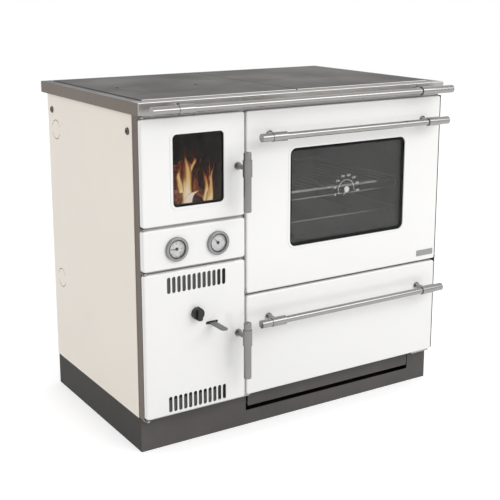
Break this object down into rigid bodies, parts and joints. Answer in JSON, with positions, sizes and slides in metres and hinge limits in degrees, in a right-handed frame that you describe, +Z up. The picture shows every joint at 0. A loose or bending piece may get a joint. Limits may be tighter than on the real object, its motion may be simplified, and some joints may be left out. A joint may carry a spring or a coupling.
{
  "type": "wood cookstove",
  "caption": "White enamel wood-fired kitchen cooker with boiler: glazed firebox and oven doors, gauges, wood drawer, steel hob, round rails and handles.",
  "frame": {"origin": "on the floor, at the middle of the plinth's bottom", "axes": "+X to the cook's right along the front, +Y to the back, +Z up; the doors face -Y"},
  "size_m": [0.91, 0.6564, 0.852],
  "materials": {
    "door_enamel": "gloss",
    "side_enamel": "satin",
    "plinth_paint": "satin",
    "frame_steel": "satin",
    "edge_steel": "satin",
    "top_steel": "brushed",
    "hob_steel": "ground",
    "lid_steel": "ground",
    "bar_steel": "polished",
    "bezel_chrome": "polished",
    "dial": "matt",
    "gauge_glass": "clear",
    "firebox_glass": "smoked",
    "oven_glass": "smoked",
    "inner_glass": "clear",
    "cast_iron": "cast",
    "boiler_plate": "matt",
    "zinc_sheet": "galvanised",
    "flue_paint": "matt",
    "oven_enamel": "gloss",
    "rack_chrome": "polished",
    "rope": "woven",
    "knob": "satin",
    "shutter_steel": "satin",
    "needle": "matt",
    "badge": "satin",
    "stat_case": "satin",
    "screw_steel": "polished"
  },
  "bodies": {
    "carcass": {"plinth": "plinth_paint", "floor_plate": "zinc_sheet", "corner_posts": "zinc_sheet", "side_panel_left": "side_enamel", "side_panel_right": "side_enamel", "panel_screws": "screw_steel", "front_frame": "frame_steel", "edge_strip": "edge_steel", "hinge_lugs": "frame_steel", "back_panel": "zinc_sheet", "top_frame": "top_steel", "hob_plate_left": "hob_steel", "hob_plate_right": "hob_steel", "top_rail": "bar_steel", "gauge_panel": "door_enamel", "gauge_cases": "bezel_chrome", "gauge_dials": "dial", "gauge_glasses": "gauge_glass", "firebox_front": "cast_iron", "water_jacket": "boiler_plate", "firebox": "boiler_plate", "grate": "cast_iron", "ash_pan": "zinc_sheet", "boiler_sockets": "boiler_plate", "drawer_bay": "zinc_sheet", "drawer_runners": "zinc_sheet", "oven_casing": "flue_paint", "oven_box": "oven_enamel", "oven_rack": "rack_chrome", "oven_tray": "oven_enamel", "flue_collar": "flue_paint"},
    "hob_lid": {"hob_lid": "lid_steel"},
    "firebox_door": {"firebox_door_panel": "door_enamel", "firebox_door_frame": "cast_iron", "firebox_door_glass": "firebox_glass", "firebox_door_seal": "rope"},
    "firebox_handle": {"firebox_handle": "bar_steel", "firebox_latch": "shutter_steel"},
    "ash_door": {"ash_door_panel": "door_enamel", "ash_door_liner": "cast_iron", "ash_door_seal": "rope"},
    "ash_handle": {"ash_handle": "bar_steel", "ash_latch": "shutter_steel"},
    "draught_knob": {"draught_knob": "knob"},
    "air_shutter": {"air_shutter": "shutter_steel"},
    "oven_door": {"oven_door_panel": "door_enamel", "oven_door_liner": "oven_enamel", "oven_door_glass": "oven_glass", "oven_inner_glass": "inner_glass", "oven_door_seal": "rope", "oven_handle": "bar_steel", "oven_badge": "badge", "oven_thermometer": "stat_case"},
    "oven_thermometer_needle": {"oven_thermometer_needle": "needle"},
    "thermometer_needle": {"thermometer_needle": "needle"},
    "pressure_needle": {"pressure_needle": "needle"},
    "wood_drawer": {"drawer_front": "door_enamel", "drawer_box": "zinc_sheet", "drawer_kick": "plinth_paint", "drawer_handle": "bar_steel"}
  },
  "joints": [
    {"name": "firebox_door_hinge", "type": "hinge", "parent": "carcass", "child": "firebox_door", "pos_m": [-0.4435, -0.284, 0.68715], "axis": [0, 0, -1], "range_deg": [0, 110]},
    {"name": "firebox_handle_turn", "type": "hinge", "parent": "firebox_door", "child": "firebox_handle", "pos_m": [-0.1947, -0.29, 0.6842], "axis": [0, -1, 0], "range_deg": [0, 60]},
    {"name": "ash_door_hinge", "type": "hinge", "parent": "carcass", "child": "ash_door", "pos_m": [-0.4435, -0.284, 0.27095], "axis": [0, 0, -1], "range_deg": [0, 110]},
    {"name": "ash_handle_turn", "type": "hinge", "parent": "ash_door", "child": "ash_handle", "pos_m": [-0.1947, -0.29, 0.266], "axis": [0, -1, 0], "range_deg": [0, 60]},
    {"name": "draught_knob_turn", "type": "hinge", "parent": "ash_door", "child": "draught_knob", "pos_m": [-0.3112, -0.29, 0.3379], "axis": [0, -1, 0], "range_deg": [0, 60]},
    {"name": "air_shutter_slide", "type": "slide", "parent": "ash_door", "child": "air_shutter", "axis": [1, 0, 0], "range_m": [-0.0068, 0.0068]},
    {"name": "oven_door_drop", "type": "hinge", "parent": "carcass", "child": "oven_door", "pos_m": [0.13835, -0.284, 0.3664], "axis": [1, 0, 0], "range_deg": [0, 90], "stiffness_Nm_per_rad": 8, "springref_deg": -22.92},
    {"name": "oven_thermometer_swing", "type": "hinge", "parent": "oven_door", "child": "oven_thermometer_needle", "pos_m": [0.14, -0.2812, 0.5882], "axis": [0, 1, 0], "range_deg": [0, 265], "stiffness_Nm_per_rad": 0.01},
    {"name": "thermometer_swing", "type": "hinge", "parent": "carcass", "child": "thermometer_needle", "pos_m": [-0.3625, -0.29, 0.5035], "axis": [0, 1, 0], "range_deg": [-42, 228], "stiffness_Nm_per_rad": 0.01},
    {"name": "pressure_swing", "type": "hinge", "parent": "carcass", "child": "pressure_needle", "pos_m": [-0.2513, -0.29, 0.5035], "axis": [0, 1, 0], "range_deg": [-92, 178], "stiffness_Nm_per_rad": 0.01},
    {"name": "wood_drawer_slide", "type": "slide", "parent": "carcass", "child": "wood_drawer", "axis": [0, -1, 0], "range_m": [0, 0.34]},
    {"name": "hob_lid_lift", "type": "slide", "parent": "carcass", "child": "hob_lid", "axis": [0, 0, 1], "range_m": [0, 0.06]}
  ]
}
